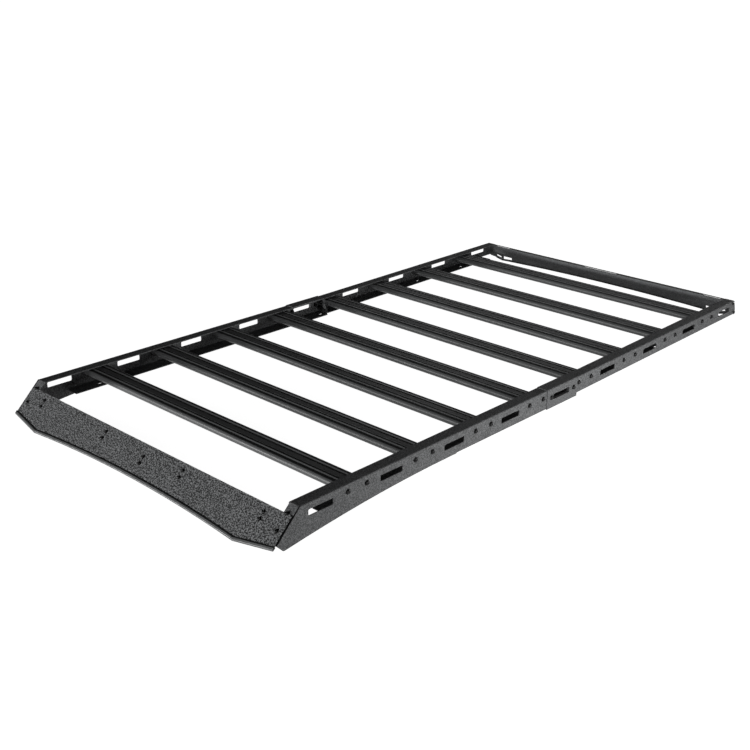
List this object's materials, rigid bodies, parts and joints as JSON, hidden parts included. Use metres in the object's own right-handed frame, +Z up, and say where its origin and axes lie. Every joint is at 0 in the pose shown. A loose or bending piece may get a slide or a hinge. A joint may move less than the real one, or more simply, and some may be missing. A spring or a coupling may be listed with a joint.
{
  "type": "flat roof rack",
  "caption": "Low flat roof rack: folded side rails with tie-down slots, slotted crossbars, a raked front fairing and a raked rear panel, both with edge trim.",
  "frame": {"origin": "centre of the rack front to rear and side to side, on the plane of its lowest corners", "axes": "+Y to the vehicle's rear, +X to its left, +Z up"},
  "size_m": [1.254, 2.5405, 0.1259],
  "materials": {
    "rail_coat": "fine textured black powder coat",
    "panel_coat": "coarse textured black powder coat",
    "bar_coat": "satin black coated extrusion",
    "trim_rubber": "matt"
  },
  "bodies": {
    "root": {"left_front_rail": "rail_coat", "right_front_rail": "rail_coat", "left_rear_rail": "rail_coat", "right_rear_rail": "rail_coat", "left_splice_plate": "rail_coat", "right_splice_plate": "rail_coat", "left_splice_backing": "rail_coat", "right_splice_backing": "rail_coat", "left_front_joint_plate": "rail_coat", "right_front_joint_plate": "rail_coat", "left_rear_joint_plate": "rail_coat", "right_rear_joint_plate": "rail_coat", "crossbar_1": "bar_coat", "crossbar_2": "bar_coat", "crossbar_3": "bar_coat", "crossbar_4": "bar_coat", "crossbar_5": "bar_coat", "crossbar_6": "bar_coat", "crossbar_7": "bar_coat", "crossbar_8": "bar_coat", "fairing_panel": "panel_coat", "fairing_edge_trim": "trim_rubber", "rear_panel": "panel_coat", "rear_edge_trim": "trim_rubber"}
  },
  "joints": []
}
